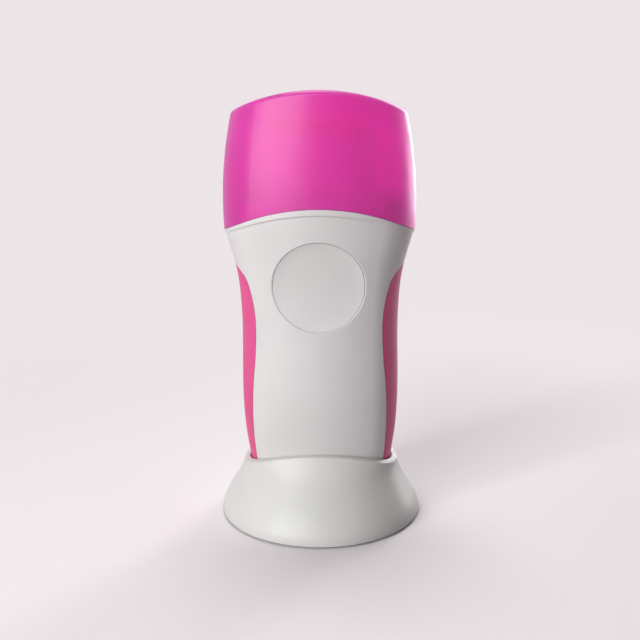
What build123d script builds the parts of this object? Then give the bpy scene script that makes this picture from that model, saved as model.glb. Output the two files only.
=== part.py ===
from build123d import *
from math import asin, degrees, sqrt
import os

# Roll-on wax heater standing in its mains dock. Sizes are in millimetres.
# The origin is on the surface that the dock stands on, under its middle.
# X points right, Y to the back and Z up.

# Handset outline: oval sections whose half sizes follow tangent arcs
foot_bottom = 11.2          # underside of the handset when it is docked
hip_height = 46.0           # widest place of the grip
hip_half_width = 28.04
waist_height = 74.0         # narrowest place of the grip
waist_half_width = 27.8
waist_half_depth = 18.6
foot_arc = 125.0            # side arc from the hip down to the foot
flare_arc_width = 96.0      # arc from the waist up to the head, seen from the front
flare_arc_depth = 252.0     # the same, seen from the side
head_half_width = 33.6
oval_end_share = 0.85       # end radius of every oval, as a share of its half depth
cover_wall = 2.2
seam = 0.12                 # hairline between the pieces of the casing

# White panel seen from the front: tangent arcs from the foot up to the tip of each grip
panel_half_width = 21.95
panel_waist_height = 72.5
panel_hip_height = 40.0
panel_upper_arc = 48.0
panel_lower_arc = 140.0
panel_hip_arc = 153.0
panel_upper_angle = 18.3    # where the upper arc ends and the tip arc starts, in degrees
panel_tip_arc = 10.0
panel_tip_angle = 60.0
grip_lip = 2.5              # how far the grip reaches behind the covers
grip_lip_wall = 1.0

# Collar, neck and cap
collar_crown = 115.4        # cap's lower edge at the front centre
collar_arch = 62.5
collar_height = 2.1         # at the crown
seam_arch = 68.0            # hairline between collar and covers
collar_half_depth = 22.4
cap_seat_gap = 0.2          # cap's lower edge to the collar
cap_wall = 1.8
cap_bulge_height = 114.0
cap_arc_width = 142.0
cap_arc_depth = 323.0
cap_top = 152.3             # crown over the origin
cap_top_arch = 70.0         # the top arches from side to side
cap_top_lean = 4.0          # and falls away to the back, in degrees
cap_edge_round = 2.0
cap_fit = 0.4               # neck to cap, each side
neck_top = 119.3
neck_arch = 125.0
neck_wall = 1.6
spigot_length = 3.4         # how far the collar reaches down inside the covers
spigot_root = 1.0           # and up into the ring
deck_height = 112.0
deck_thickness = 1.6

# Dock
foot_proud = 0.8            # rubber feet stand below the skirt
dock_height = 27.3          # rim at the front centre
rim_arch = 57.0
rim_half_width = 28.0
rim_half_depth = 19.9
rim_round = 0.5
base_half_width = 36.5
base_half_depth = 35.9
flare_start_slope = 0.4
skirt_wall = 2.0
well_gap = 0.35
well_wall = 1.4
well_floor = 1.6
seat_gap = 0.2              # handset's underside to the floor of the well

plate_thickness = 1.8
plate_fit = 0.3
rubber_radius = 4.5
rubber_recess = 0.6
rubber_spot = (13.0, 21.0)
screw_spot = (24.0, 15.0)
screw_radius = 1.25
screw_head_radius = 2.4
screw_head_height = 1.4
screw_inset = 0.1           # screw head below the plate's face
screw_length = 8.6
screw_fit = 0.2
boss_radius = 3.2
boss_top = 13.0
plate_pad = 1.5

# Mains inlet at the back of the dock, for a two-pin figure-8 plug
inlet_height = 8.3
inlet_half_width = 7.2
inlet_half_height = 4.1
inlet_wall = 1.4
inlet_front = 18.0
inlet_back_wall = 2.6
inlet_fit = 0.1
inlet_pin_radius = 1.18
inlet_root_radius = 1.5     # thicker root of each pin, moulded into the housing
inlet_pin_spacing = 8.6
inlet_pin_length = 7.4
inlet_tail = 1.6

# Contacts between dock and handset
contact_offset = 8.6
contact_width = 4.0
contact_touch = 0.05
leaf_thickness = 0.4
leaf_start = 3.0
leaf_bend = 14.0
leaf_rise = 2.6
leaf_round = 0.8
leaf_nose = (1.6, 0.9)      # half length and height of the rounded nose
leaf_room = 0.6
block_half_width = 16.5
block_half_depth = 5.0
block_height = 5.0
block_floor = 0.8
pad_half_size = (3.5, 4.0)
pad_recess = 0.6
pad_thickness = 0.8
pad_fit = 0.1
stem_half_size = (1.5, 1.0)
stem_length = 2.0
wire_radius = 0.55
wire_bend = 1.2
wire_hole_fit = 0.1
dock_wire_x = 9.0
dock_wire_turns = (12.0, 8.5)

# Foot cover of the handset, held by two screws to the legs of the chassis
foot_split = 16.0
foot_floor = 2.0
foot_round = 1.2
foot_tongue = 1.4
leg_offset = 7.6
leg_radius = 2.2
leg_fit = 0.1
leg_socket_wall = 1.1
leg_socket_height = 2.6
foot_screw_length = 8.0

# Cartridge, heater sleeve and chassis are nested ovals
tank_half_width = 19.2
tank_half_depth = 10.2
tank_wall = 1.2
tank_fit = 0.35
tank_lift = 0.3
wax_headspace = 4.0
sleeve_wall = 1.2
sleeve_floor = 1.2
sleeve_lift = 0.2
sleeve_flange = 1.2
sleeve_fit = 0.3
chassis_wall = 1.2
chassis_bottom = 25.0
chassis_floor = 1.2
chassis_top = 96.6
chassis_flange = 1.6
chassis_fit = 0.3
throat_fit = 0.5
throat_wall = 1.2
throat_bottom = 100.0
gasket_fit = 0.15

# Heater parts on the back of the sleeve
heater_face = 12.0          # flat pad on the back of the sleeve
heater_pad_half_width = 9.3
heater_pad = (44.0, 92.0)
heater_window_half_width = 10.5
heater_window = (40.0, 93.0)
heater_middle = 63.0
heater_half_size = (9.0, 10.0)
heater_thickness = 1.8
clamp_thickness = 0.6
clamp_overhang = 3.6
clamp_screw_inset = 1.8
clamp_screw_radius = 0.9
clamp_screw_bite = 1.1
clamp_head_radius = 1.6
clamp_head_height = 0.5
sensor_half_size = (4.0, 6.0)
sensor_middle = 84.0
sensor_thickness = 2.2
fuse_radius = 1.2
fuse_half_length = 6.0
fuse_height = 46.0
fuse_lift = 0.05

# Push button, switch and board
button_height = 88.0
button_radius = 15.6
button_gap = 0.12
button_recess = 2.4
button_wall = 1.2
button_face_arc = 150.0     # bows forwards from side to side
button_dish_arc = 54.0      # and is hollow from top to bottom
button_tilt = 3.2           # leans with the front of the head, in degrees
button_travel = 0.6         # the switch's plunger stands out this far
pocket_round = 0.45
hook_inset = 0.4            # leg's outer face to the rim of the button
hook_wall = 1.2
hook_half_width = 3.0
hook_catch = 1.6            # how far the hook reaches behind the cover
hook_gap = 0.12             # hook to the inside of the cover
hook_thickness = 0.9
post_radius = 2.4
post_length = 0.2           # post behind the thinnest place of the button
board_half_width = 11.6
board_bottom = 70.0
board_top = 94.6
board_thickness = 0.8
board_pad = (10.0, 2.0)     # where the chassis's pads start, and how tall they are
board_window_half_width = 10.0
board_window_room = 0.2
switch_half_size = 3.0
switch_height = 1.4
switch_floor = 0.2
plunger_radius = 1.6
plunger_fit = 0.1
plunger_engaged = 0.3
led_half_size = 1.5
led_height = 0.8
led_offset = 7.5

# Screws that hold the two covers together, put in from the back
case_screw_low = (15.0, 20.6)
case_screw_high = (23.9, 100.8)
case_screw_radius = 1.0
case_screw_fit = 0.15
case_screw_tip = -6.0
case_head_seat = 8.6
case_head_radius = 1.9
case_head_height = 1.3
case_head_fit = 0.2
case_boss_radius = 2.4

# Roller head
head_flange_margin = 1.4
head_flange = 1.6
head_seat_gap = 0.2
head_plug = 5.0
head_base = (20.4, 12.0)
head_crown = (19.4, 8.4)
head_top = 139.0
roller_radius = 6.5
roller_half_length = 16.0
roller_height = 137.0
roller_gap = 0.35
roller_end_gap = 0.3
axle_radius = 1.5
axle_half_length = 18.2
axle_fit = 0.05
axle_end_gap = 0.3
wax_slot = (13.0, 1.5)

# Wires inside the handset, behind the chassis
riser_turn = 18.0           # wires leave the pads straight up to here
riser_low = (7.4, 13.3, 23.5)
live_riser_x = 10.6
neutral_riser_x = 9.5
riser_spread = 39.0         # height where the risers stand at their own x
riser_back = 13.2
link_upper_x = 3.0
link_lower_x = 7.6

# Heights at which the lofted forms have a section, and room around the cutting solids
casing_sections = (8.0, 20.0, 33.0, 46.0, 60.0, 74.0, 84.0, 94.0, 104.0, 112.0, 122.0)
cap_sections = (98.0, 106.0, 114.0, 126.0, 140.0, 158.0)
dock_steps = 10
reach = 60.0

# Sizes that follow from the ones above
well_seat = foot_bottom - seat_gap
well_ceiling = well_seat - well_floor
plate_top = foot_proud + plate_thickness
screw_low = foot_proud + screw_inset
screw_seat = screw_low + screw_head_height
plate_pad_top = screw_seat + plate_pad
screw_tip = screw_seat + screw_length
block_bottom = well_ceiling - block_height
leaf_floor = block_bottom + block_floor
pad_face = foot_bottom + pad_recess
pad_top = pad_face + pad_thickness
foot_floor_top = foot_bottom + foot_floor
foot_inset = cover_wall + seam + grip_lip_wall
sleeve_half_width = tank_half_width + tank_fit + sleeve_wall
sleeve_half_depth = tank_half_depth + tank_fit + sleeve_wall
sleeve_bottom = chassis_bottom + chassis_floor + sleeve_lift
sleeve_top = chassis_top + sleeve_flange
chassis_half_width = sleeve_half_width + sleeve_fit + chassis_wall
chassis_half_depth = sleeve_half_depth + sleeve_fit + chassis_wall
throat_half_width = tank_half_width + throat_fit + throat_wall
throat_half_depth = tank_half_depth + throat_fit + throat_wall
tank_bottom = sleeve_bottom + sleeve_floor + tank_lift
deck_top = deck_height + deck_thickness
tank_top = deck_top + head_seat_gap
neck_half_width = head_half_width - cap_wall - cap_fit
neck_half_depth = collar_half_depth - cap_wall - cap_fit
heater_back = heater_face + heater_thickness
clamp_back = heater_back + clamp_thickness


def sagitta(radius, offset):
    return radius - sqrt(radius**2 - offset**2)


def casing_half_width(z):
    if z > waist_height:
        return min(waist_half_width + sagitta(flare_arc_width, z - waist_height), head_half_width)
    if z > hip_height:
        share = (waist_height - z) / (waist_height - hip_height)
        return waist_half_width + (hip_half_width - waist_half_width) * share
    return hip_half_width - sagitta(foot_arc, hip_height - z)


def casing_half_depth(z):
    if z > waist_height:
        return waist_half_depth + sagitta(flare_arc_depth, z - waist_height)
    if z > hip_height:
        return waist_half_depth
    return waist_half_depth - sagitta(foot_arc, hip_height - z)


def oval_flat_radius(half_width, half_depth):
    end = oval_end_share * half_depth
    middle = half_width - end
    return (middle**2 + half_depth**2 - end**2) / (2 * (half_depth - end))


def oval(half_width, half_depth, z):
    """Four-centre oval: two end arcs joined by two flatter arcs, all tangent."""
    end = oval_end_share * half_depth
    middle = half_width - end
    flat = oval_flat_radius(half_width, half_depth)
    join_x = middle + end * middle / (flat - end)
    join_y = end * (flat - half_depth) / (flat - end)
    arcs = [
        ThreePointArc((-join_x, join_y), (0, half_depth), (join_x, join_y)),
        ThreePointArc((join_x, join_y), (half_width, 0), (join_x, -join_y)),
        ThreePointArc((join_x, -join_y), (0, -half_depth), (-join_x, -join_y)),
        ThreePointArc((-join_x, -join_y), (-half_width, 0), (-join_x, join_y)),
    ]
    return Pos(0, 0, z) * make_face(arcs)


def casing(inset):
    """Whole outline of the handset, moved inwards by inset."""
    return loft([oval(casing_half_width(z) - inset, casing_half_depth(z) - inset, z)
                 for z in casing_sections])


def cap_form(inset):
    return loft([oval(head_half_width - sagitta(cap_arc_width, z - cap_bulge_height) - inset,
                      collar_half_depth - sagitta(cap_arc_depth, z - cap_bulge_height) - inset, z)
                 for z in cap_sections])


def dock_flare(height_share):
    """How far the skirt has spread: 0 at the rim, 1 at the table, where it stands upright."""
    s = max(height_share, 0.0)
    return flare_start_slope * s + (3 - 2 * flare_start_slope) * s**2 + (flare_start_slope - 2) * s**3


def dock_half_width(z):
    side_height = dock_height - sagitta(rim_arch, rim_half_width)
    spread = dock_flare((side_height - z) / (side_height - foot_proud))
    return rim_half_width + (base_half_width - rim_half_width) * spread


def dock_half_depth(z):
    spread = dock_flare((dock_height - z) / (dock_height - foot_proud))
    return rim_half_depth + (base_half_depth - rim_half_depth) * spread


def dock_form(inset):
    top = dock_height + 1
    heights = [foot_proud + (top - foot_proud) * i / dock_steps for i in range(dock_steps + 1)]
    return loft([oval(dock_half_width(z) - inset, dock_half_depth(z) - inset, z) for z in heights])


def tube(half_width, half_depth, low, high):
    """Solid upright bar with an oval section."""
    return extrude(oval(half_width, half_depth, low), high - low)


def slab(low, high):
    """Everything between two heights."""
    return Pos(0, 0, (low + high) / 2) * Box(4 * reach, 4 * reach, high - low)


def under_arch(radius, crown):
    """Everything below an arch whose crown line runs from front to back over the origin."""
    span = 0.75 * radius
    shoulder = crown - sagitta(radius, span)
    edges = [
        ThreePointArc((-span, shoulder), (0, crown), (span, shoulder)),
        Line((span, shoulder), (span, -reach)),
        Line((span, -reach), (-span, -reach)),
        Line((-span, -reach), (-span, shoulder)),
    ]
    return extrude(Plane.XZ * make_face(edges), reach, both=True)


def under_collar(drop):
    """Everything below the cap's lower edge moved down by drop, as a concentric arch."""
    return under_arch(collar_arch - drop, collar_crown - drop)


def under_seam(drop):
    """Everything below the collar's lower edge moved down by drop, as a concentric arch."""
    return under_arch(seam_arch - drop, collar_crown - collar_height - drop)


def under_cap_top(inset):
    """Everything below the cap's top, moved inwards by inset."""
    return Pos(0, 0, cap_top) * Rot(-cap_top_lean, 0, 0) * under_arch(cap_top_arch - inset, -inset)


def on_arch(edge, radius, crown):
    """Whether an edge lies on such an arch."""
    spots = [edge @ share for share in (0.0, 0.5, 1.0)]
    return all(abs(p.Z - crown + sagitta(radius, p.X)) < 0.01 for p in spots)


def block(x_range, y_range, z_range):
    """Box between two x, two y and two z values."""
    ranges = (x_range, y_range, z_range)
    sizes = [high - low for low, high in ranges]
    middle = [(high + low) / 2 for low, high in ranges]
    return Pos(*middle) * Box(*sizes)


def rod(radius, x, y, low, high):
    return Pos(x, y, (low + high) / 2) * Cylinder(radius, high - low)


def rod_along_y(radius, x, z, front, back):
    return Pos(x, (front + back) / 2, z) * Rot(90, 0, 0) * Cylinder(radius, back - front)


def rod_along_x(radius, z, half_length):
    return Pos(0, 0, z) * Rot(0, 90, 0) * Cylinder(radius, 2 * half_length)


def pair(shape):
    """A right-hand shape and its mirror image on the left."""
    return shape + mirror(shape, about=Plane.YZ)


def four_ways(spot):
    return [(x * spot[0], y * spot[1]) for x in (-1, 1) for y in (-1, 1)]


def wire(points):
    """Insulated wire: straight runs joined by tangent arcs."""
    path = FilletPolyline(*points, radius=wire_bend) if len(points) > 2 else Line(*points)
    return sweep(Plane(origin=path @ 0, z_dir=path % 0) * Circle(wire_radius), path=path)


def write(name, shape):
    export_step(shape, f"parts/{name}.step")


casing_outer = casing(0)
casing_inner = casing(cover_wall)
dock_outer = dock_form(0)

# The button's face is set into the casing, and the switch and its board follow behind it
button_face = casing_half_depth(button_height) - button_recess
switch_top = button_face - button_wall - post_length - button_travel
board_front = switch_top - switch_height
board_back = board_front - board_thickness


# ---- Dock ----

def inlet_outline(grow, back):
    """Block that holds the mains inlet."""
    half_width = inlet_half_width + inlet_wall + grow
    half_height = inlet_half_height + inlet_wall + grow
    return block((-half_width, half_width), (inlet_front - grow, back),
                 (inlet_height - half_height, inlet_height + half_height))


def build_dock_shell():
    outer = dock_outer & under_arch(rim_arch, dock_height)
    inner = dock_form(skirt_wall) & under_arch(rim_arch - skirt_wall, dock_height - skirt_wall)
    well_outside = casing(-well_gap - well_wall) & slab(well_ceiling, dock_height + 2)
    well_inside = casing(-well_gap) & slab(well_seat, dock_height + 2)
    shell = outer - (inner - well_outside) - well_inside
    for x, y in four_ways(screw_spot):
        shell += rod(boss_radius, x, y, plate_pad_top, boss_top) & outer
        shell -= rod(screw_radius, x, y, plate_pad_top - 1, screw_tip)
    shell -= inlet_outline(inlet_fit, base_half_depth + 1)
    shell -= pair(block((contact_offset - leaf_nose[0] - leaf_room, leaf_bend - 1),
                        (-contact_width / 2 - leaf_room, contact_width / 2 + leaf_room),
                        (well_ceiling - 1, well_seat + 1)))
    rim = [edge for edge in shell.edges() if on_arch(edge, rim_arch, dock_height)]
    return fillet(rim, rim_round)


def build_base_plate():
    plate = tube(dock_half_width(plate_top) - skirt_wall - plate_fit,
                 dock_half_depth(plate_top) - skirt_wall - plate_fit, foot_proud, plate_top)
    for x, y in four_ways(screw_spot):
        plate += rod(boss_radius, x, y, plate_top, plate_pad_top)
        plate -= rod(screw_head_radius + screw_fit, x, y, 0, screw_seat)
        plate -= rod(screw_radius + screw_fit, x, y, screw_seat, plate_pad_top)
    for x, y in four_ways(rubber_spot):
        plate -= rod(rubber_radius, x, y, 0, foot_proud + rubber_recess)
    return plate


def build_base_screws():
    return Part() + [rod(screw_head_radius, x, y, screw_low, screw_seat)
                     + rod(screw_radius, x, y, screw_seat, screw_tip)
                     for x, y in four_ways(screw_spot)]


def build_rubber_feet():
    return Part() + [rod(rubber_radius, x, y, 0, foot_proud + rubber_recess)
                     for x, y in four_ways(rubber_spot)]


def build_inlet_housing():
    floor = inlet_front + inlet_back_wall
    mouth = Plane(origin=(0, floor, inlet_height), x_dir=(1, 0, 0), z_dir=(0, 1, 0))
    socket = extrude(mouth * SlotOverall(2 * inlet_half_width, 2 * inlet_half_height), reach)
    housing = (inlet_outline(0, base_half_depth + 1) & dock_outer) - socket
    hole = rod_along_y(inlet_root_radius, inlet_pin_spacing / 2, inlet_height, inlet_front, floor)
    return housing - pair(hole)


def build_inlet_pins():
    floor = inlet_front + inlet_back_wall
    root = rod_along_y(inlet_root_radius, inlet_pin_spacing / 2, inlet_height,
                       inlet_front - inlet_tail, floor)
    pin = rod_along_y(inlet_pin_radius, inlet_pin_spacing / 2, inlet_height,
                      floor, floor + inlet_pin_length)
    return pair(root + pin)


def build_contact_block():
    body = block((-block_half_width, block_half_width), (-block_half_depth, block_half_depth),
                 (block_bottom, well_ceiling))
    half = contact_width / 2
    pocket = block((leaf_start + leaf_rise, leaf_bend + leaf_room + leaf_thickness),
                   (-half - leaf_room / 2, half + leaf_room / 2), (leaf_floor, well_ceiling))
    slot = block((leaf_start, leaf_start + leaf_rise), (-half, half),
                 (leaf_floor, leaf_floor + leaf_thickness))
    hole = rod_along_y(wire_radius + wire_hole_fit, dock_wire_x, leaf_floor + leaf_thickness / 2,
                       half, block_half_depth)
    return body - pair(pocket) - pair(slot) - pair(hole)


def build_contact_springs():
    """Flat springs: a tail in the block, a bend, and a rounded nose that meets the pad."""
    tail = leaf_floor + leaf_thickness / 2
    crown = pad_face - contact_touch - leaf_thickness / 2
    nose_start = (contact_offset + leaf_nose[0], crown - leaf_nose[1])
    nose_end = (contact_offset - leaf_nose[0], crown - leaf_nose[1])
    finger = FilletPolyline((leaf_start + leaf_thickness / 2, tail), (leaf_bend, tail),
                            (leaf_bend, tail + leaf_rise), nose_start, radius=leaf_round)
    nose = ThreePointArc(nose_start, (contact_offset, crown), nose_end)
    strip = trace(Curve() + [finger, nose], leaf_thickness)
    return pair(extrude(Plane.XZ * strip, contact_width / 2, both=True))


def dock_wire_points(side):
    x_pin = side * inlet_pin_spacing / 2
    x_leaf = side * dock_wire_x
    low = leaf_floor + leaf_thickness / 2
    return [(x_pin, inlet_front - inlet_tail, inlet_height),
            (x_pin, dock_wire_turns[0], inlet_height),
            (x_leaf, dock_wire_turns[1], low),
            (x_leaf, contact_width / 2, low)]


# ---- Handset casing ----

def build_foot_cover():
    cup = casing_outer & slab(foot_bottom, foot_split)
    cup = fillet(cup.faces().sort_by(Axis.Z)[0].edges(), foot_round)
    inside = casing(foot_inset)
    cup -= inside & slab(foot_floor_top, foot_split + 1)
    cup += (casing(cover_wall + seam) - inside) & slab(foot_split - 1, foot_split + foot_tongue)
    for side in (-1, 1):
        y = side * leg_offset
        socket = rod(leg_radius + leg_fit + leg_socket_wall, 0, y, foot_floor_top - 0.5,
                     foot_floor_top + leg_socket_height)
        cup += socket & casing(cover_wall)
        cup -= rod(leg_radius + leg_fit, 0, y, foot_floor_top, foot_split)
        cup -= rod(case_screw_radius + case_screw_fit, 0, y, foot_bottom, foot_floor_top)
        cup -= rod(case_head_radius + case_head_fit, 0, y, 0, foot_bottom + case_head_height)
    cup -= pair(block((contact_offset - pad_half_size[0] - pad_fit,
                       contact_offset + pad_half_size[0] + pad_fit),
                      (-pad_half_size[1] - pad_fit, pad_half_size[1] + pad_fit), (0, pad_top)))
    return cup - pad_stems()


def pad_stems():
    return pair(block((contact_offset - stem_half_size[0], contact_offset + stem_half_size[0]),
                      (-stem_half_size[1], stem_half_size[1]), (pad_top, pad_top + stem_length)))


def build_contact_pads():
    plates = pair(block((contact_offset - pad_half_size[0], contact_offset + pad_half_size[0]),
                        (-pad_half_size[1], pad_half_size[1]), (pad_face, pad_top)))
    return plates + pad_stems()


def build_foot_screws():
    seat = foot_bottom + case_head_height
    return Part() + [rod(case_head_radius, 0, y, foot_bottom, seat)
                     + rod(case_screw_radius, 0, y, seat, seat + foot_screw_length)
                     for y in (-leg_offset, leg_offset)]


def panel_outline(grow):
    """Front view of a cover, with its side edges moved outwards by grow."""
    span = panel_waist_height - panel_hip_height
    lower_angle = degrees(asin(span / (panel_lower_arc + panel_hip_arc)))
    foot_angle = degrees(asin(panel_hip_height / panel_hip_arc))
    waist = (panel_half_width + grow, panel_waist_height)
    upper = JernArc(waist, (0, 1), panel_upper_arc - grow, -panel_upper_angle)
    tip = JernArc(upper @ 1, upper % 1, panel_tip_arc - grow, panel_upper_angle - panel_tip_angle)
    side = Line(tip @ 1, (tip @ 1) + (tip % 1) * reach)
    lower = JernArc(waist, (0, -1), panel_lower_arc - grow, lower_angle)
    hip = JernArc(lower @ 1, lower % 1, panel_hip_arc + grow, -lower_angle - foot_angle)
    right = Curve() + [side, tip, upper, lower, hip]
    top = Line(side @ 1, (-(side @ 1).X, (side @ 1).Y))
    bottom = Line(hip @ 1, (-(hip @ 1).X, (hip @ 1).Y))
    return make_face([*right.edges(), *mirror(right, about=Plane.YZ).edges(), top, bottom])


def in_front(grow, start):
    """Everything inside the panel's outline and in front of start."""
    return Pos(0, -start, 0) * extrude(Plane.XZ * panel_outline(grow), reach)


def behind(grow, start):
    return mirror(in_front(grow, start), about=Plane.XZ)


def case_screw_spots():
    return [(side * x, z) for x, z in (case_screw_low, case_screw_high) for side in (-1, 1)]


def build_casing_walls():
    """Full wall of the handset above its foot, up to the groove under the collar."""
    wall = (casing_outer - casing_inner) & slab(foot_split + seam, cap_top)
    return wall & under_seam(seam)


def build_front_cover():
    cover = build_casing_walls() & in_front(0, seam / 2)
    for x, z in case_screw_spots():
        cover += rod_along_y(case_boss_radius, x, z, -reach, -seam / 2) & casing_outer
        cover -= rod_along_y(case_screw_radius, x, z, case_screw_tip, 0)
    hole_radius = button_radius + button_gap
    cover -= rod_along_y(hole_radius, 0, button_height, -reach, 0)
    rims = cover.edges().filter_by(lambda edge: edge.length > 6 * hole_radius
                                   and abs(edge.center().Z - button_height) < hole_radius / 2)
    return fillet(rims.sort_by(Axis.Y)[0], pocket_round)


def build_rear_cover():
    cover = build_casing_walls() & behind(0, seam / 2)
    for x, z in case_screw_spots():
        cover += rod_along_y(case_boss_radius, x, z, seam / 2, reach) & casing_outer
        cover -= rod_along_y(case_screw_radius + case_screw_fit, x, z, 0, case_head_seat)
        cover -= rod_along_y(case_head_radius + case_head_fit, x, z, case_head_seat, reach)
    return cover


def build_grip():
    """Right-hand grip: a strip between the covers, with a lip behind their edges."""
    half = block((0, reach), (-reach, reach), (foot_split + seam, cap_top))
    inside = casing(foot_inset)
    above_tongue = slab(foot_split + foot_tongue + seam, cap_top)
    strip = ((casing_outer - casing_inner) & half) + ((casing_inner - inside) & half & above_tongue)
    lip = (casing(cover_wall + seam) - inside) & half & above_tongue
    strip = strip - in_front(seam, -1) - behind(seam, -1)
    lip = lip - in_front(-grip_lip, -1) - behind(-grip_lip, -1)
    return strip + lip


def build_housing_screws():
    return Part() + [rod_along_y(case_screw_radius, x, z, case_screw_tip, case_head_seat)
                     + rod_along_y(case_head_radius, x, z, case_head_seat,
                                   case_head_seat + case_head_height)
                     for x, z in case_screw_spots()]


def build_collar_ring():
    """Collar under the cap, with the neck that the cap fits over and a deck round the cartridge."""
    core = casing(foot_inset + neck_wall - grip_lip_wall)
    ring = (cap_form(0) - core) & under_collar(cap_seat_gap)
    ring -= under_seam(0)
    spigot = (casing(cover_wall + seam) - core) & under_seam(-spigot_root)
    spigot -= under_seam(spigot_length)
    neck = tube(neck_half_width, neck_half_depth, hip_height, cap_top)
    neck -= tube(neck_half_width - neck_wall, neck_half_depth - neck_wall, hip_height, cap_top)
    neck = (neck - under_seam(0)) & under_arch(neck_arch, neck_top)
    deck = tube(neck_half_width - neck_wall / 2,
                casing_half_depth(deck_height) - cover_wall - 2 * seam, deck_height, deck_top)
    throat = tube(throat_half_width, throat_half_depth, throat_bottom, deck_top)
    bore = tube(throat_half_width - throat_wall, throat_half_depth - throat_wall,
                throat_bottom, deck_top)
    return ring + spigot + neck + deck + throat - bore


# ---- Inside the handset ----

def build_chassis():
    body = tube(chassis_half_width, chassis_half_depth, chassis_bottom, chassis_top)
    flange = casing(foot_inset + chassis_fit) & block((-reach, reach), (-chassis_half_depth, reach),
                                                      (chassis_top - chassis_flange, chassis_top))
    body += flange
    body -= tube(sleeve_half_width + sleeve_fit, sleeve_half_depth + sleeve_fit,
                 chassis_bottom + chassis_floor, chassis_top)
    body -= block((-heater_window_half_width, heater_window_half_width), (0, reach),
                  heater_window)
    body -= block((-board_window_half_width, board_window_half_width), (-reach, 0),
                  (board_bottom - board_window_room, board_top + board_window_room))
    inner = sleeve_half_depth + sleeve_fit - chassis_wall
    for low in (board_bottom, board_top - board_pad[1]):
        body += pair(block((board_pad[0], board_half_width), (-board_back, -inner),
                           (low, low + board_pad[1])))
    for y in (-leg_offset, leg_offset):
        body += rod(leg_radius, 0, y, foot_floor_top, chassis_bottom + chassis_floor)
        body -= rod(case_screw_radius, 0, y, foot_floor_top,
                    foot_bottom + case_head_height + foot_screw_length)
    return body


def build_heater_sleeve():
    """Aluminium chamber round the cartridge, with a flat pad for the heater on its back."""
    body = tube(sleeve_half_width, sleeve_half_depth, sleeve_bottom, sleeve_top)
    body += tube(chassis_half_width, chassis_half_depth, chassis_top, sleeve_top)
    body += block((-heater_pad_half_width, heater_pad_half_width), (0, heater_face), heater_pad)
    body -= tube(tank_half_width + tank_fit, tank_half_depth + tank_fit,
                 sleeve_bottom + sleeve_floor, sleeve_top)
    return body - clamp_screw_shanks()


def clamp_screw_shanks():
    reach_up = heater_half_size[1] + clamp_overhang - clamp_screw_inset
    return Part() + [rod_along_y(clamp_screw_radius, 0, heater_middle + side * reach_up,
                                 heater_face - clamp_screw_bite, clamp_back)
                     for side in (-1, 1)]


def build_clamp_screws():
    reach_up = heater_half_size[1] + clamp_overhang - clamp_screw_inset
    heads = [rod_along_y(clamp_head_radius, 0, heater_middle + side * reach_up, clamp_back,
                         clamp_back + clamp_head_height) for side in (-1, 1)]
    return clamp_screw_shanks() + heads


def build_ptc_heater():
    half_width, half_height = heater_half_size
    return block((-half_width, half_width), (heater_face, heater_back),
                 (heater_middle - half_height, heater_middle + half_height))


def build_heater_clamp():
    half_height = heater_half_size[1] + clamp_overhang
    plate = block((-heater_half_size[0], heater_half_size[0]), (heater_back, clamp_back),
                  (heater_middle - half_height, heater_middle + half_height))
    return plate - clamp_screw_shanks()


def build_thermostat():
    half_width, half_height = sensor_half_size
    return block((-half_width, half_width), (heater_face, heater_face + sensor_thickness),
                 (sensor_middle - half_height, sensor_middle + half_height))


def build_thermal_fuse():
    return Pos(0, heater_face + fuse_radius + fuse_lift, 0) * \
        rod_along_x(fuse_radius, fuse_height, fuse_half_length)


def build_sleeve_gasket():
    ring = tube(throat_half_width, throat_half_depth, sleeve_top, throat_bottom)
    return ring - tube(tank_half_width + gasket_fit, tank_half_depth + gasket_fit,
                       sleeve_top, throat_bottom)


def riser(side, x_up):
    """Start of a mains wire: up from a contact pad, then behind the chassis."""
    x_pad = side * contact_offset
    return [(x_pad, 0, pad_top + stem_length), (x_pad, 0, riser_turn),
            (side * riser_low[0], riser_low[1], riser_low[2]), (side * x_up, riser_back, riser_spread)]


def live_points():
    end = sensor_half_size[0]
    y = heater_face + sensor_thickness / 2
    return riser(1, live_riser_x) + [(live_riser_x, y, sensor_middle), (end, y, sensor_middle)]


def neutral_points():
    y = heater_face + fuse_radius + fuse_lift
    return riser(-1, neutral_riser_x) + [(-neutral_riser_x, y, fuse_height),
                                         (-fuse_half_length, y, fuse_height)]


def upper_link_points():
    y = heater_face + heater_thickness / 2
    return [(link_upper_x, y, sensor_middle - sensor_half_size[1]),
            (link_upper_x, y, heater_middle + heater_half_size[1])]


def lower_link_points():
    y_fuse = heater_face + fuse_radius + fuse_lift
    y_heater = heater_face + heater_thickness / 2
    return [(fuse_half_length, y_fuse, fuse_height), (link_lower_x, y_fuse, fuse_height),
            (link_lower_x, y_heater, heater_middle - heater_half_size[1])]


def build_circuit_board():
    return block((-board_half_width, board_half_width), (-board_front, -board_back),
                 (board_bottom, board_top))


def build_tact_switch():
    body = block((-switch_half_size, switch_half_size), (-switch_top, -board_front),
                 (button_height - switch_half_size, button_height + switch_half_size))
    return body - rod_along_y(plunger_radius + plunger_fit, 0, button_height, -switch_top,
                              -board_front - switch_floor)


def build_switch_plunger():
    return rod_along_y(plunger_radius, 0, button_height, -switch_top - button_travel,
                       -switch_top + plunger_engaged)


def build_indicator_led():
    return block((led_offset - led_half_size, led_offset + led_half_size),
                 (-board_front - led_height, -board_front),
                 (button_height - led_half_size, button_height + led_half_size))


def inner_wall_depth(x, z):
    """Distance from the middle plane to the inside of a cover, in front of or behind x."""
    half_width = casing_half_width(z) - cover_wall
    half_depth = casing_half_depth(z) - cover_wall
    return half_depth - sagitta(oval_flat_radius(half_width, half_depth), x)


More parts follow.
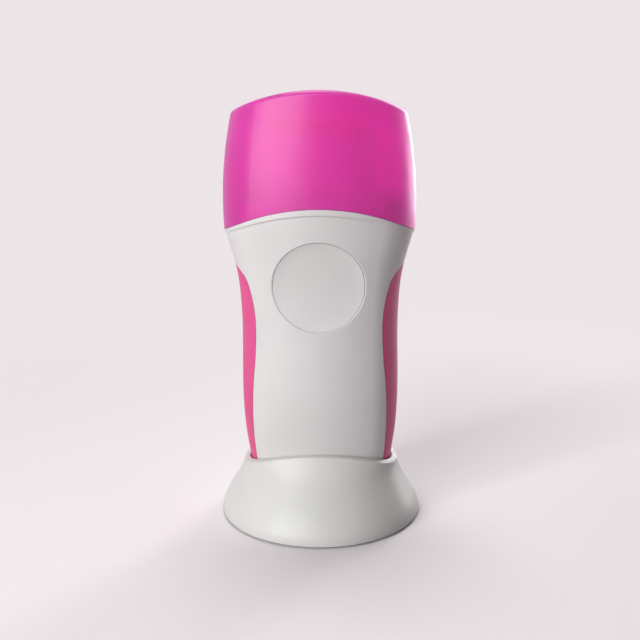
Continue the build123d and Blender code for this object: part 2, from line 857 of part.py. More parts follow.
def dished_wall():
    """Saddle-shaped wall: a hollow arc swept round an upright axis, its face through the origin."""
    span = 1.2 * button_radius
    outer = sagitta(button_dish_arc, span)
    inner = sagitta(button_dish_arc + button_wall, span)
    edges = [
        ThreePointArc((-outer, -span), (0, 0), (-outer, span)),
        Line((-outer, span), (button_wall - inner, span)),
        ThreePointArc((button_wall - inner, span), (button_wall, 0), (button_wall - inner, -span)),
        Line((button_wall - inner, -span), (-outer, -span)),
    ]
    return revolve(Plane.YZ * make_face(edges), Axis((0, button_face_arc, 0), (0, 0, 1)), 360)


def build_power_button():
    """Round dished button: a gently curved disc, two snap hooks and a post for the switch."""
    bow = Pos(0, -button_face, button_height) * Rot(button_tilt, 0, 0) * dished_wall()
    button = rod_along_y(button_radius, 0, button_height, -button_face - button_radius, 0) & bow
    low, high = button_height - hook_half_width, button_height + hook_half_width
    leg_outside = button_radius - hook_inset
    leg_inside = leg_outside - hook_wall
    hook_reach = leg_outside + hook_catch
    hook_front = inner_wall_depth(hook_reach, low) - hook_gap
    hook_back = hook_front - hook_thickness
    root = button_face - sagitta(button_face_arc, leg_outside) - button_wall / 2
    leg = block((leg_inside, leg_outside), (-root, -hook_back), (low, high))
    catch = block((leg_inside, hook_reach), (-hook_front, -hook_back), (low, high))
    post = rod_along_y(post_radius, 0, button_height, -button_face + button_wall / 2,
                       -switch_top - button_travel)
    return button + pair(leg + catch) + post


# ---- Cartridge, roller and cap ----

def build_cartridge_tank():
    body = tube(tank_half_width, tank_half_depth, tank_bottom, tank_top)
    return body - tube(tank_half_width - tank_wall, tank_half_depth - tank_wall,
                       tank_bottom + tank_wall, tank_top)


def build_wax_fill():
    return tube(tank_half_width - tank_wall, tank_half_depth - tank_wall,
                tank_bottom + tank_wall, tank_top - head_plug - wax_headspace)


def build_roller_head():
    """Snap-in head: a plug in the tank, a flange on the deck and two cheeks for the roller."""
    plug = tube(tank_half_width - tank_wall, tank_half_depth - tank_wall,
                tank_top - head_plug, tank_top)
    flange = tube(tank_half_width + throat_fit + head_flange_margin,
                  tank_half_depth + throat_fit + head_flange_margin,
                  tank_top, tank_top + head_flange)
    body = loft([oval(*head_base, tank_top + head_flange), oval(*head_crown, head_top)])
    head = plug + flange + body
    head -= rod_along_x(roller_radius + roller_gap, roller_height,
                        roller_half_length + roller_end_gap)
    head -= rod_along_x(axle_radius + axle_fit, roller_height, axle_half_length + axle_end_gap)
    return head - block((-wax_slot[0], wax_slot[0]), (-wax_slot[1], wax_slot[1]),
                        (tank_top - head_plug, roller_height))


def build_wax_roller():
    return rod_along_x(roller_radius, roller_height, roller_half_length) \
        + rod_along_x(axle_radius, roller_height, axle_half_length)


def build_cap():
    cap = (cap_form(0) & under_cap_top(0)) - under_collar(0)
    rim = cap.faces().sort_by(Axis.Z)[-1].edges()
    cap = fillet(rim, cap_edge_round)
    return cap - (cap_form(cap_wall) & under_cap_top(cap_wall))


os.makedirs("parts", exist_ok=True)

write("dock_shell", build_dock_shell())
write("base_plate", build_base_plate())
write("base_screws", build_base_screws())
write("rubber_feet", build_rubber_feet())
write("inlet_housing", build_inlet_housing())
write("inlet_pins", build_inlet_pins())
write("contact_block", build_contact_block())
write("contact_springs", build_contact_springs())
write("dock_wire_live", wire(dock_wire_points(1)))
write("dock_wire_neutral", wire(dock_wire_points(-1)))

write("foot_cover", build_foot_cover())
write("contact_pads", build_contact_pads())
write("foot_screws", build_foot_screws())
write("front_cover", build_front_cover())
write("rear_cover", build_rear_cover())
right_grip = build_grip()
write("grip_right", right_grip)
write("grip_left", mirror(right_grip, about=Plane.YZ))
write("housing_screws", build_housing_screws())
write("collar_ring", build_collar_ring())

write("chassis", build_chassis())
write("heater_sleeve", build_heater_sleeve())
write("sleeve_gasket", build_sleeve_gasket())
write("ptc_heater", build_ptc_heater())
write("heater_clamp", build_heater_clamp())
write("clamp_screws", build_clamp_screws())
write("thermostat", build_thermostat())
write("thermal_fuse", build_thermal_fuse())
write("handset_wire_live", wire(live_points()))
write("handset_wire_neutral", wire(neutral_points()))
write("link_wire_upper", wire(upper_link_points()))
write("link_wire_lower", wire(lower_link_points()))
write("circuit_board", build_circuit_board())
write("tact_switch", build_tact_switch())
write("switch_plunger", build_switch_plunger())
write("indicator_led", build_indicator_led())
write("power_button", build_power_button())

write("cartridge_tank", build_cartridge_tank())
write("wax_fill", build_wax_fill())
write("roller_head", build_roller_head())
write("wax_roller", build_wax_roller())
write("cap", build_cap())
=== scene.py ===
import bpy
import math
import numpy as np
from mathutils import Matrix, Vector


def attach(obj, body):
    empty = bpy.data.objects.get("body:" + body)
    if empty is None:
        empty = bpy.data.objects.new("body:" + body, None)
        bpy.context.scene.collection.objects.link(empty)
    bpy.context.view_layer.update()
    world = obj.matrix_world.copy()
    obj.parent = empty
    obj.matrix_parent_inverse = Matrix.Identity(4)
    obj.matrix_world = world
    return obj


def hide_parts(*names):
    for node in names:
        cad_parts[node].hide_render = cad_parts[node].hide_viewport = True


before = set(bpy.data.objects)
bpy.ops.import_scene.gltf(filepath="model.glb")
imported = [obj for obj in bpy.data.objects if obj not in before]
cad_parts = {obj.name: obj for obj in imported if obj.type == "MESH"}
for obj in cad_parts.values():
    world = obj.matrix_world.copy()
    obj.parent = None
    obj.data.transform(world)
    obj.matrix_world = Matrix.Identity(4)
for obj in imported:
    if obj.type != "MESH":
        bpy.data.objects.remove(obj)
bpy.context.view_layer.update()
mm = 0.001
print("frame loaded:", len(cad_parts), "nodes")


def linear(colour):
    # sRGB hex text to a linear RGBA colour: a straight line near black, a power above it
    curve = {"knee": 0.04045, "slope": 12.92, "offset": 0.055, "power": 2.4}
    parts = np.array([int(colour[i:i + 2], 16) for i in (1, 3, 5)]) / 255
    bright = ((parts + curve["offset"]) / (1 + curve["offset"]))**curve["power"]
    return np.where(parts <= curve["knee"], parts / curve["slope"], bright).tolist() + [1.0]


def addNode(tree, kind, settings=None, links=None):
    # one node with its settings, which are sockets or properties, and the links into it
    node = tree.nodes.new(kind)
    for key, value in (settings or {}).items():
        if key in node.inputs:
            node.inputs[key].default_value = value
        else:
            setattr(node, key, value)
    for key, socket in (links or {}).items():
        tree.links.new(socket, node.inputs[key])
    return node


def newMaterial(name, shader):
    # a material with one Principled shader, its constant sockets set directly
    material = bpy.data.materials.new(name)
    material.use_nodes = True
    tree = material.node_tree
    bsdf = tree.nodes["Principled BSDF"]
    for key, value in shader.items():
        bsdf.inputs[key].default_value = value
    return material, tree, bsdf


def paintRamp(ramp, positions, colours):
    # the two stops of a ramp take these positions and sRGB colours
    for stop, position, colour in zip(ramp.elements, positions, colours):
        stop.position = position
        stop.color = linear(colour)


def finishSkin(tree, bsdf, texture, roughness, depth):
    # roughness and fine relief that follow the same noise, most of whose values lie in its span
    span = (0.3, 0.7)
    sheen = addNode(tree, "ShaderNodeMapRange", {"From Min": span[0], "From Max": span[1],
                                                 "To Min": roughness[0], "To Max": roughness[1]},
                    {"Value": texture.outputs["Fac"]})
    tree.links.new(sheen.outputs["Result"], bsdf.inputs["Roughness"])
    skin = addNode(tree, "ShaderNodeBump", {"Strength": 1.0, "Distance": depth},
                   {"Height": texture.outputs["Fac"]})
    tree.links.new(skin.outputs["Normal"], bsdf.inputs["Normal"])


def mouldedPlastic(name, look):
    # Injection moulded plastic: a tone that drifts a little over the part, an even skin of fine pits
    # from the spark-eroded mould, and a sheen that varies with how well the skin copied the mould.
    # Real pits are about 0.1 mm wide; they are drawn at look["grain"] so that they show.
    toneStops = (0.35, 0.65)
    material, tree, bsdf = newMaterial(name, {"IOR": look["ior"], **look.get("shader", {})})
    place = addNode(tree, "ShaderNodeTexCoord").outputs["Object"]
    drift = addNode(tree, "ShaderNodeTexNoise", {"Scale": 1 / look["drift"], "Detail": 2.0},
                    {"Vector": place})
    tone = addNode(tree, "ShaderNodeValToRGB", links={"Fac": drift.outputs["Fac"]})
    paintRamp(tone.color_ramp, toneStops, look["colours"])
    tree.links.new(tone.outputs["Color"], bsdf.inputs["Base Color"])
    pits = addNode(tree, "ShaderNodeTexNoise", {"Scale": 1 / look["grain"], "Detail": 3.0, "Roughness": 0.6},
                   {"Vector": place})
    finishSkin(tree, bsdf, pits, look["roughness"], look["pitDepth"])
    return material


# ABS gives the covers an even, softly shining white with the faint grain of a spark-eroded mould
satinAbs = mouldedPlastic("satin moulded ABS", {
    "colours": ("#DCD8D8", "#E2DFDE"), "roughness": (0.36, 0.5), "ior": 1.53, "drift": 30 * mm,
    "grain": 0.5 * mm, "pitDepth": 0.04 * mm})

# the dock is the same plastic from another mould, a shade cooler and a little smoother
dockAbs = mouldedPlastic("satin moulded ABS of the dock", {
    "colours": ("#DADAD7", "#E0E0DD"), "roughness": (0.34, 0.46), "ior": 1.53, "drift": 30 * mm,
    "grain": 0.5 * mm, "pitDepth": 0.034 * mm})

# thermoplastic rubber on the grips is denser in colour and spreads its highlights widely
softGrip = mouldedPlastic("soft-touch moulded TPE", {
    "colours": ("#E04C8A", "#E45391"), "roughness": (0.42, 0.56), "ior": 1.5, "drift": 20 * mm,
    "grain": 0.4 * mm, "pitDepth": 0.02 * mm})

# frosted polypropylene lets light through, so the cap glows and darkens where the neck stands behind it
frostedCap = mouldedPlastic("frosted tinted polypropylene", {
    "colours": ("#FA54D2", "#FE5BD7"), "roughness": (0.32, 0.39), "ior": 1.49, "drift": 24 * mm,
    "grain": 0.5 * mm, "pitDepth": 0.016 * mm, "shader": {"Transmission Weight": 0.75}})

# the roller head is natural polypropylene, milky and slightly waxy
milkyPp = mouldedPlastic("natural moulded polypropylene", {
    "colours": ("#EDEBE6", "#F2F0EC"), "roughness": (0.3, 0.4), "ior": 1.49, "drift": 18 * mm,
    "grain": 0.4 * mm, "pitDepth": 0.008 * mm,
    "shader": {"Subsurface Weight": 0.2, "Subsurface Scale": 1.5 * mm}})

# the roller is smooth polypropylene from a polished mould, so it shines
rollerPp = mouldedPlastic("polished moulded polypropylene", {
    "colours": ("#E7589B", "#EA60A1"), "roughness": (0.14, 0.2), "ior": 1.49, "drift": 18 * mm,
    "grain": 0.6 * mm, "pitDepth": 0.003 * mm})

# the tank is clear enough to show how much wax is left
clearTank = mouldedPlastic("clear moulded polypropylene", {
    "colours": ("#E9E9E4", "#EEEEEA"), "roughness": (0.16, 0.24), "ior": 1.49, "drift": 18 * mm,
    "grain": 0.5 * mm, "pitDepth": 0.004 * mm, "shader": {"Transmission Weight": 0.7}})

# wax sets with a cloudy skin and lets light a little way in
setWax = mouldedPlastic("set depilatory wax", {
    "colours": ("#D47F98", "#E093A8"), "roughness": (0.22, 0.42), "ior": 1.44, "drift": 9 * mm,
    "grain": 1.5 * mm, "pitDepth": 0.05 * mm,
    "shader": {"Subsurface Weight": 0.4, "Subsurface Scale": 2 * mm}})

# PBT for mains parts is dense black with a dull shine
blackPbt = mouldedPlastic("moulded black PBT", {
    "colours": ("#17171A", "#1D1D20"), "roughness": (0.38, 0.52), "ior": 1.55, "drift": 10 * mm,
    "grain": 0.4 * mm, "pitDepth": 0.015 * mm})

# glass fibres show as a fine grey fleck in the nylon of the inner frame
fleckedNylon = mouldedPlastic("glass-filled moulded nylon", {
    "colours": ("#35353A", "#47474D"), "roughness": (0.42, 0.62), "ior": 1.53, "drift": 0.9 * mm,
    "grain": 0.35 * mm, "pitDepth": 0.03 * mm})

# rubber scatters nearly all the light that it returns
nitrileRubber = mouldedPlastic("moulded nitrile rubber", {
    "colours": ("#1F1F21", "#29292B"), "roughness": (0.66, 0.82), "ior": 1.52, "drift": 5 * mm,
    "grain": 0.35 * mm, "pitDepth": 0.03 * mm})

# silicone is a softer, slightly milky rubber
siliconeRubber = mouldedPlastic("moulded silicone rubber", {
    "colours": ("#B9503F", "#C25A47"), "roughness": (0.48, 0.6), "ior": 1.41, "drift": 6 * mm,
    "grain": 0.4 * mm, "pitDepth": 0.02 * mm})

# extruded PVC has the smooth greasy shine of cable insulation
cablePvc = {"roughness": (0.28, 0.38), "ior": 1.54, "drift": 4 * mm, "grain": 0.6 * mm, "pitDepth": 0.01 * mm}
brownPvc = mouldedPlastic("extruded brown PVC", {**cablePvc, "colours": ("#5A3320", "#643A25")})
bluePvc = mouldedPlastic("extruded blue PVC", {**cablePvc, "colours": ("#2B5FA6", "#3168B0")})
whiteSilicone = mouldedPlastic("extruded white silicone", {**cablePvc, "colours": ("#DAD8D2", "#E2E0DA")})

# polyimide film is thin, amber and glossy, with the ripple of tape laid by hand
polyimideTape = mouldedPlastic("wound polyimide film", {
    "colours": ("#B0701F", "#C07E29"), "roughness": (0.14, 0.26), "ior": 1.7, "drift": 4 * mm,
    "grain": 2.2 * mm, "pitDepth": 0.06 * mm})

# phenolic mouldings are brown-black and a little uneven
phenolic = mouldedPlastic("moulded phenolic resin", {
    "colours": ("#2A211C", "#372C25"), "roughness": (0.34, 0.5), "ior": 1.6, "drift": 3 * mm,
    "grain": 0.5 * mm, "pitDepth": 0.02 * mm})

# acetal is the hard slippery plastic of the switch's plunger
acetal = mouldedPlastic("moulded acetal", {
    "colours": ("#C7C5BE", "#CFCDC6"), "roughness": (0.26, 0.36), "ior": 1.48, "drift": 3 * mm,
    "grain": 0.4 * mm, "pitDepth": 0.01 * mm})

# the lamp's epoxy is clear with a green tint
greenEpoxy = mouldedPlastic("cast clear epoxy", {
    "colours": ("#9FD8A4", "#A8DEAD"), "roughness": (0.06, 0.12), "ior": 1.55, "drift": 2 * mm,
    "grain": 0.8 * mm, "pitDepth": 0.004 * mm, "shader": {"Transmission Weight": 0.6}})


def metal(name, look):
    # A metal skin whose fine marks run along one direction, longer where the stretch is small
    material, tree, bsdf = newMaterial(name, {"Metallic": 1.0, "Base Color": linear(look["colour"])})
    place = addNode(tree, "ShaderNodeTexCoord").outputs["Object"]
    stretch = addNode(tree, "ShaderNodeMapping", {"Scale": look["stretch"]}, {"Vector": place})
    marks = addNode(tree, "ShaderNodeTexNoise", {"Scale": 1 / look["grain"], "Detail": 4.0},
                    {"Vector": stretch.outputs["Vector"]})
    finishSkin(tree, bsdf, marks, look["roughness"], look["markDepth"])
    return material


# zinc plating is bright with a bluish, faintly cloudy grain
zincSteel = metal("zinc-plated steel", {
    "colour": "#B9BBC0", "roughness": (0.24, 0.42), "grain": 0.25 * mm, "stretch": (1, 1, 1),
    "markDepth": 0.004 * mm})

# nickel plating on turned brass keeps faint lines round the pin
nickelBrass = metal("nickel-plated turned brass", {
    "colour": "#CFCBC2", "roughness": (0.14, 0.26), "grain": 0.3 * mm, "stretch": (1, 3, 1),
    "markDepth": 0.003 * mm})

# rolled strip carries long fine lines along its length
rolledBronze = metal("rolled phosphor bronze", {
    "colour": "#C79A5C", "roughness": (0.22, 0.38), "grain": 0.2 * mm, "stretch": (0.1, 1, 1),
    "markDepth": 0.004 * mm})

# the clamp is cold-rolled stainless strip
rolledStainless = metal("rolled stainless steel", {
    "colour": "#BDBAB4", "roughness": (0.24, 0.4), "grain": 0.25 * mm, "stretch": (1, 1, 0.12),
    "markDepth": 0.004 * mm})

# die-cast aluminium has the dull, slightly mottled skin of the die
castAluminium = metal("die-cast aluminium", {
    "colour": "#C3C5C8", "roughness": (0.36, 0.54), "grain": 0.6 * mm, "stretch": (1, 1, 1),
    "markDepth": 0.012 * mm})

# the fuse's case is drawn steel with a tin coat
tinnedSteel = metal("tinned drawn steel", {
    "colour": "#C9C7C1", "roughness": (0.2, 0.34), "grain": 0.3 * mm, "stretch": (0.2, 1, 1),
    "markDepth": 0.003 * mm})


def coatedBoard():
    # Glass-epoxy board: green solder mask, paler and slightly raised where copper tracks run under it
    look = {"mask": "#17603C", "track": "#2C8757", "pitch": 2.2 * mm, "trackWidth": 0.16, "rise": 0.035 * mm,
            "shader": {"Roughness": 0.3, "IOR": 1.55}}
    material, tree, bsdf = newMaterial("solder-masked glass epoxy", look["shader"])
    place = addNode(tree, "ShaderNodeTexCoord").outputs["Object"]
    web = addNode(tree, "ShaderNodeTexVoronoi", {"feature": "DISTANCE_TO_EDGE", "Scale": 1 / look["pitch"]},
                  {"Vector": place})
    tone = addNode(tree, "ShaderNodeValToRGB", links={"Fac": web.outputs["Distance"]})
    paintRamp(tone.color_ramp, (0.0, look["trackWidth"]), (look["track"], look["mask"]))
    tone.color_ramp.interpolation = "CONSTANT"
    tree.links.new(tone.outputs["Color"], bsdf.inputs["Base Color"])
    skin = addNode(tree, "ShaderNodeBump", {"Strength": 1.0, "Distance": look["rise"]},
                   {"Height": tone.outputs["Color"]})
    tree.links.new(skin.outputs["Normal"], bsdf.inputs["Normal"])
    return material


finish = {
    satinAbs: ["foot_cover", "front_cover", "rear_cover", "collar_ring", "power_button"],
    dockAbs: ["dock_shell", "base_plate"],
    softGrip: ["grip_right", "grip_left"],
    frostedCap: ["cap"],
    milkyPp: ["roller_head"],
    rollerPp: ["wax_roller"],
    clearTank: ["cartridge_tank"],
    setWax: ["wax_fill"],
    blackPbt: ["inlet_housing", "contact_block", "tact_switch"],
    fleckedNylon: ["chassis"],
    nitrileRubber: ["rubber_feet"],
    siliconeRubber: ["sleeve_gasket"],
    brownPvc: ["dock_wire_live", "handset_wire_live"],
    bluePvc: ["dock_wire_neutral", "handset_wire_neutral"],
    whiteSilicone: ["link_wire_upper", "link_wire_lower"],
    polyimideTape: ["ptc_heater"],
    phenolic: ["thermostat"],
    acetal: ["switch_plunger"],
    greenEpoxy: ["indicator_led"],
    coatedBoard(): ["circuit_board"],
    zincSteel: ["base_screws", "foot_screws", "housing_screws", "clamp_screws"],
    nickelBrass: ["inlet_pins", "contact_pads"],
    rolledBronze: ["contact_springs"],
    rolledStainless: ["heater_clamp"],
    castAluminium: ["heater_sleeve"],
    tinnedSteel: ["thermal_fuse"],
}
for material, nodes in finish.items():
    for node in nodes:
        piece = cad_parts[node]
        piece.data.materials.clear()
        piece.data.materials.append(material)
print("materials made:", len(bpy.data.materials))


def closedSkin(rows):
    # Points and faces of a closed skin through rows of points in millimetres, shape (rows, spokes, 3).
    # Each row is a loop; the first and the last row are the middles where the skin closes.
    count, spokes = rows.shape[:2]
    points = np.concatenate([rows[:1, 0], rows[1:-1].reshape(-1, 3), rows[-1:, 0]]) * mm
    here = np.arange(spokes)
    after = np.roll(here, -1)
    starts = 1 + spokes * np.arange(count - 3)[:, None]
    quads = np.stack([starts + here, starts + after, starts + spokes + after, starts + spokes + here], -1)
    lastLoop = 1 + spokes * (count - 3)
    firstFan = np.stack([np.zeros_like(here), 1 + after, 1 + here], -1)
    lastFan = np.stack([np.full_like(here, len(points) - 1), lastLoop + here, lastLoop + after], -1)
    faces = quads.reshape(-1, 4).tolist() + firstFan.tolist() + lastFan.tolist()
    # the skin faces outwards when the pyramids from its middle to its quads add up to a positive volume
    corners = points[quads.reshape(-1, 4)]
    volume = np.einsum("ij,ij->", np.cross(corners[:, 1] - corners[:, 0], corners[:, 2] - corners[:, 0]),
                       corners[:, 0] - points.mean(0))
    return points.tolist(), faces if volume > 0 else [face[::-1] for face in faces]


def newPiece(name, skins, material):
    # one object from one or more closed skins, smooth but for edges that turn by more than the sharp angle
    sharpAngle = 35
    points, faces = [], []
    for skinPoints, skinFaces in skins:
        faces += [[corner + len(points) for corner in face] for face in skinFaces]
        points += skinPoints
    mesh = bpy.data.meshes.new(name)
    mesh.from_pydata(points, [], faces)
    mesh.polygons.foreach_set("use_smooth", np.ones(len(mesh.polygons), dtype=bool))
    mesh.set_sharp_from_angle(angle=math.radians(sharpAngle))
    mesh.materials.append(material)
    piece = bpy.data.objects.new(name, mesh)
    bpy.context.scene.collection.objects.link(piece)
    return piece


def sagitta(radius, offset):
    # how far an arc has fallen at this offset from its crown
    return radius - np.sqrt(radius**2 - offset**2)


# the white cover in millimetres: its narrowest oval, the arcs along which it widens above that, how wide
# it gets at the head, and how much of its depth its rounded ends take up
casingCurve = {"waistHeight": 74.0, "halfWidth": 27.8, "halfDepth": 18.6, "flareWidth": 96.0,
               "flareDepth": 252.0, "headWidth": 33.6, "endShare": 0.85}


def casingFront(x, z):
    # y of the white cover's front: the half depth of its oval at this height, less the fall of the flat
    # arc at this x. Above the waist the half sizes grow along two arcs.
    curve = casingCurve
    rise = np.maximum(z - curve["waistHeight"], 0.0)
    width = np.minimum(curve["halfWidth"] + sagitta(curve["flareWidth"], rise), curve["headWidth"])
    depth = curve["halfDepth"] + sagitta(curve["flareDepth"], rise)
    end = curve["endShare"] * depth
    flat = ((width - end)**2 + depth**2 - end**2) / (2 * (depth - end))
    return sagitta(flat, x) - depth


def buildButtonFace():
    # The skin of the round button. Its face is the button's own saddle: a hollow arc from top to bottom,
    # carried round an upright axis behind it, leaning with the head. Two coves raise it towards its edge,
    # each by the square of the way from where it starts to the edge, up to a lip just below the cover.
    look = {"height": 88.0, "recess": 2.4, "acrossArc": 150.0, "uprightArc": 54.0, "lean": 3.2,
            "radius": 15.66, "lift": 0.06, "lip": 0.12, "depth": 0.3,
            "coves": ((5.0, 0.35), (11.8, 0.65)),    # radius where each starts, and its share of the rise
            "rings": 64, "spokes": 160, "passes": 3}
    lean = math.radians(look["lean"])
    faceDepth = casingFront(0.0, look["height"]) + look["recess"]

    def face(x, dz):
        # the point of the leaning face at this height, found by going there and back
        along = dz / math.cos(lean)
        for _ in range(look["passes"]):
            hollow = look["acrossArc"] + sagitta(look["uprightArc"], along)
            back = look["acrossArc"] - np.sqrt(hollow**2 - x**2)
            along = (dz - back * math.sin(lean)) / math.cos(lean)
        return back * math.cos(lean) - along * math.sin(lean) + faceDepth

    turn = np.linspace(0, 2 * np.pi, look["spokes"], endpoint=False)[None, :]
    r = np.linspace(0, look["radius"], look["rings"])[:, None]
    x, dz = r * np.cos(turn), r * np.sin(turn)
    skin = face(x, dz) - look["lift"]
    rise = skin[-1:] - casingFront(x[-1:], look["height"] + dz[-1:]) - look["lip"]
    way = sum(share * np.clip((r - start) / (look["radius"] - start), 0, 1)**2
              for start, share in look["coves"])
    front = np.stack([x, skin - rise * way, look["height"] + dz], -1)
    back = np.stack([x, face(x, dz) + look["depth"], look["height"] + dz], -1)[::-1]
    piece = newPiece("button_face", [closedSkin(np.concatenate([front, back]))], satinAbs)
    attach(piece, "button")


buildButtonFace()

# Sizes in millimetres. The axis is 1 for y and 2 for z, facing is the way along it that the head looks,
# top is where the head's top lies, and places are the screws' middles across the axis.
screws = {
    "housing_screws": {
        "body": "handset", "axis": 1, "facing": 1, "top": 9.9, "headRadius": 1.9, "headHeight": 1.3,
        "shankRadius": 1.0, "shankLength": 14.6,
        "places": ((15.0, 20.6), (-15.0, 20.6), (23.9, 100.8), (-23.9, 100.8))},
    "foot_screws": {
        "body": "handset", "axis": 2, "facing": -1, "top": 11.2, "headRadius": 1.9, "headHeight": 1.3,
        "shankRadius": 1.0, "shankLength": 8.0, "places": ((0.0, -7.6), (0.0, 7.6))},
    "base_screws": {
        "body": "dock", "axis": 2, "facing": -1, "top": 0.9, "headRadius": 2.4, "headHeight": 1.4,
        "shankRadius": 1.25, "shankLength": 8.6,
        "places": ((24.0, 15.0), (24.0, -15.0), (-24.0, 15.0), (-24.0, -15.0))},
    "clamp_screws": {
        "body": "handset", "axis": 1, "facing": 1, "top": 14.9, "headRadius": 1.6, "headHeight": 0.5,
        "shankRadius": 0.9, "shankLength": 3.5, "places": ((0.0, 51.2), (0.0, 74.8))},
}


def buildScrews(node, screw):
    # Pan-head screws with a cross recess. Each is a profile turned round its axis: a domed head, its side,
    # and a shank whose radius dips by the thread's depth once a pitch along a helix. The recess lowers the
    # head where a point lies in one of two crossed bars, with sloping walls.
    look = {"dome": 0.18, "edge": 0.16, "barWidth": 0.34, "barLength": 1.2, "wall": 0.16, "recess": 0.62,
            "barShare": 0.68, "recessShare": 0.7,    # of the head's radius and of its height, at most
            "pitch": 0.8, "threadDepth": 0.11, "tip": 1.2, "tipShare": 0.35,
            "headRings": 26, "shankRings": 90, "spokes": 64}
    headRadius, headHeight = screw["headRadius"], screw["headHeight"]
    shankRadius, shankLength = screw["shankRadius"], screw["shankLength"]
    turn = np.linspace(0, 2 * np.pi, look["spokes"], endpoint=False)[None, :]
    ones = np.ones_like(turn)
    # over the head: down from its top by the dome, then by its rounded edge
    r = np.linspace(0, headRadius, look["headRings"])[:, None]
    nearEdge = np.clip((r - headRadius + look["edge"]) / look["edge"], 0, 1)
    down = look["dome"] * (r / headRadius)**2 + look["edge"] * (1 - np.sqrt(1 - nearEdge**2))
    across, along = np.abs(r * np.cos(turn)), np.abs(r * np.sin(turn))
    barLength = min(look["barLength"], look["barShare"] * headRadius)

    def bar(short, longer):
        side = np.clip((look["barWidth"] + look["wall"] - short) / look["wall"], 0, 1)
        end = np.clip((barLength + look["wall"] - longer) / look["wall"], 0, 1)
        return side * end

    depth = min(look["recess"], look["recessShare"] * headHeight)
    sunk = depth * np.maximum(bar(across, along), bar(along, across))
    head = (r * ones, down + sunk)
    # under the head and down the shank to a blunt tip
    s = np.linspace(0, shankLength, look["shankRings"])[:, None]
    taper = np.sqrt(np.clip((shankLength - s) / look["tip"], 0, 1))
    helix = (1 - np.cos(2 * np.pi * s / look["pitch"] - turn)) / 2
    started = np.clip(s / look["pitch"], 0, 1)
    thinning = look["tipShare"] + (1 - look["tipShare"]) * taper
    shankR = (shankRadius - look["threadDepth"] * helix * started) * thinning
    under = (np.array([[headRadius], [shankRadius]]) * ones, np.full((2, look["spokes"]), headHeight))
    shank = (shankR, headHeight + s * ones)
    tip = (0 * ones, (headHeight + shankLength) * ones)
    radii = np.concatenate([part[0] for part in (head, under, shank, tip)])
    depths = np.concatenate([part[1] for part in (head, under, shank, tip)])
    level = screw["top"] - screw["facing"] * depths
    skins = []
    for first, second in screw["places"]:
        side = first + radii * np.cos(turn)
        up = second + radii * np.sin(turn)
        skins.append(closedSkin(np.stack([side, level, up] if screw["axis"] == 1 else [side, up, level], -1)))
    piece = newPiece(f"threaded_{node}", skins, zincSteel)
    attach(piece, screw["body"])
    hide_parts(node)


for node, screw in screws.items():
    buildScrews(node, screw)
print("button face and screws made")


studio = {
    "paper": "#FAF3F5", "bounce": "#A69EA1", "paperSize": 8.0, "paperFade": (0.1, 0.32),
    "paperShader": {"Roughness": 0.9, "Specular IOR Level": 0.1},
    "backdrop": "#EDE5E8", "fill": "#F3ECEE", "fillStrength": 0.02,
    "aim": (0.0, 0.0, 0.075),
    # soft boxes, in watts and metres
    "lamps": {
        "key": {"power": 5.8, "width": 0.55, "height": 0.8, "place": (-0.44, -0.69, 0.36)},
        "strip": {"power": 2.3, "width": 0.1, "height": 0.9, "place": (-0.62, -0.5, 0.25)},
        "rim": {"power": 2.3, "width": 0.16, "height": 0.6, "place": (0.34, 0.57, 0.2)},
        "top": {"power": 3.8, "width": 0.4, "height": 0.4, "place": (-0.05, 0.25, 0.9)},
        "low": {"power": 0.8, "width": 0.12, "height": 0.2, "place": (0.6, 0.42, 0.04)},
    },
}


def backdropRays(tree):
    # 1 for rays that should meet the pale backdrop as it is written: straight, mirrored or refracted ones
    rays = addNode(tree, "ShaderNodeLightPath")
    seen = addNode(tree, "ShaderNodeMath", {"operation": "MAXIMUM"},
                   {0: rays.outputs["Is Camera Ray"], 1: rays.outputs["Is Glossy Ray"]})
    return addNode(tree, "ShaderNodeMath", {"operation": "MAXIMUM"},
                   {0: seen.outputs[0], 1: rays.outputs["Is Transmission Ray"]}).outputs[0]


def buildFloor():
    # one flat square of pale paper, which takes the object's shadow and fades into the backdrop
    half = studio["paperSize"] / 2
    corners = [(-half, -half, 0), (half, -half, 0), (half, half, 0), (-half, half, 0)]
    mesh = bpy.data.meshes.new("floor")
    mesh.from_pydata(corners, [], [(0, 1, 2, 3)])
    floor = bpy.data.objects.new("floor", mesh)
    bpy.context.scene.collection.objects.link(floor)
    material, tree, bsdf = newMaterial("pale backdrop paper", studio["paperShader"])
    seen = backdropRays(tree)
    tone = addNode(tree, "ShaderNodeValToRGB", links={"Fac": seen})
    paintRamp(tone.color_ramp, (0.0, 1.0), (studio["bounce"], studio["paper"]))
    tree.links.new(tone.outputs["Color"], bsdf.inputs["Base Color"])
    place = addNode(tree, "ShaderNodeTexCoord").outputs["Object"]
    spread = addNode(tree, "ShaderNodeVectorMath", {"operation": "LENGTH"}, {0: place})
    near, far = studio["paperFade"]
    fade = addNode(tree, "ShaderNodeMapRange", {"interpolation_type": "SMOOTHSTEP", "From Min": near,
                                                "From Max": far}, {"Value": spread.outputs["Value"]})
    share = addNode(tree, "ShaderNodeMath", {"operation": "MULTIPLY"},
                    {0: fade.outputs["Result"], 1: seen})
    glow = addNode(tree, "ShaderNodeEmission", {"Color": linear(studio["backdrop"])})
    mix = addNode(tree, "ShaderNodeMixShader", links={
        0: share.outputs[0], 1: bsdf.outputs["BSDF"], 2: glow.outputs["Emission"]})
    tree.links.new(mix.outputs[0], tree.nodes["Material Output"].inputs["Surface"])
    mesh.materials.append(material)


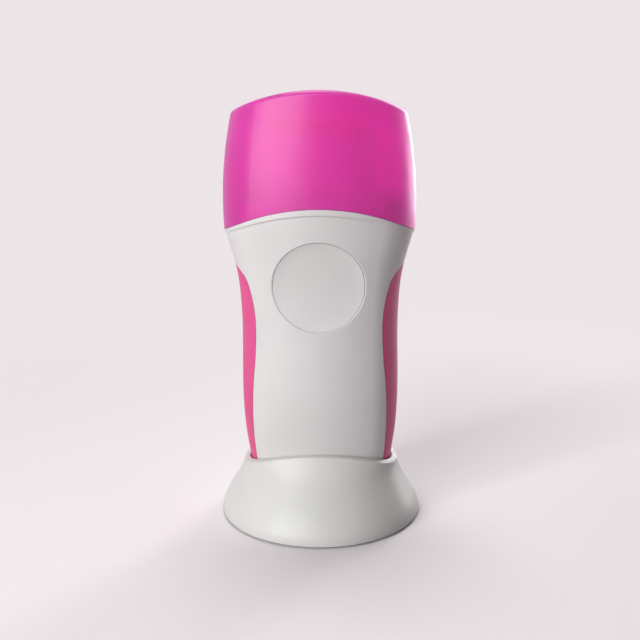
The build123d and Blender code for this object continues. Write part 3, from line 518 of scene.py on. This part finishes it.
def buildWorld():
    # pale where it is seen, dimmer where it only fills the shadows
    world = bpy.data.worlds.new("studio")
    world.use_nodes = True
    tree = world.node_tree
    seen = addNode(tree, "ShaderNodeBackground", {"Color": linear(studio["backdrop"]), "Strength": 1.0})
    fill = tree.nodes["Background"]
    fill.inputs["Color"].default_value = linear(studio["fill"])
    fill.inputs["Strength"].default_value = studio["fillStrength"]
    mix = addNode(tree, "ShaderNodeMixShader", links={
        0: backdropRays(tree), 1: fill.outputs[0], 2: seen.outputs[0]})
    tree.links.new(mix.outputs[0], tree.nodes["World Output"].inputs["Surface"])
    bpy.context.scene.world = world


def addLamp(name, look):
    # a soft box at its place, turned towards the middle of the object
    light = bpy.data.lights.new(name, "AREA")
    light.energy = look["power"]
    light.shape = "RECTANGLE"
    light.size = look["width"]
    light.size_y = look["height"]
    lamp = bpy.data.objects.new(name, light)
    lamp.location = look["place"]
    sight = Vector(studio["aim"]) - Vector(look["place"])
    lamp.rotation_euler = sight.to_track_quat("-Z", "Y").to_euler()
    bpy.context.scene.collection.objects.link(lamp)


def buildCamera():
    # stands on a circle round the object's axis, looks a little down and leans by a fraction of a degree
    view = {"distance": 0.368, "height": 0.1692, "azimuth": 1.45, "aim": (0.0, 0.0, 0.072),
            "lens": 59.7, "sensorWidth": 36.0, "clipStart": 0.01, "roll": -0.3}
    turn = math.radians(view["azimuth"])
    place = Vector((view["distance"] * math.sin(turn), -view["distance"] * math.cos(turn), view["height"]))
    camera = bpy.data.objects.new("camera", bpy.data.cameras.new("camera"))
    camera.data.lens = view["lens"]
    camera.data.sensor_width = view["sensorWidth"]
    camera.data.clip_start = view["clipStart"]
    camera.location = place
    look = (Vector(view["aim"]) - place).to_track_quat("-Z", "Y").to_matrix()
    camera.rotation_euler = (look @ Matrix.Rotation(math.radians(view["roll"]), 3, "Z")).to_euler()
    bpy.context.scene.collection.objects.link(camera)
    bpy.context.scene.camera = camera


buildFloor()
buildWorld()
for name, look in studio["lamps"].items():
    addLamp(name, look)
buildCamera()
bpy.context.scene.view_settings.view_transform = "Standard"
print("studio ready")
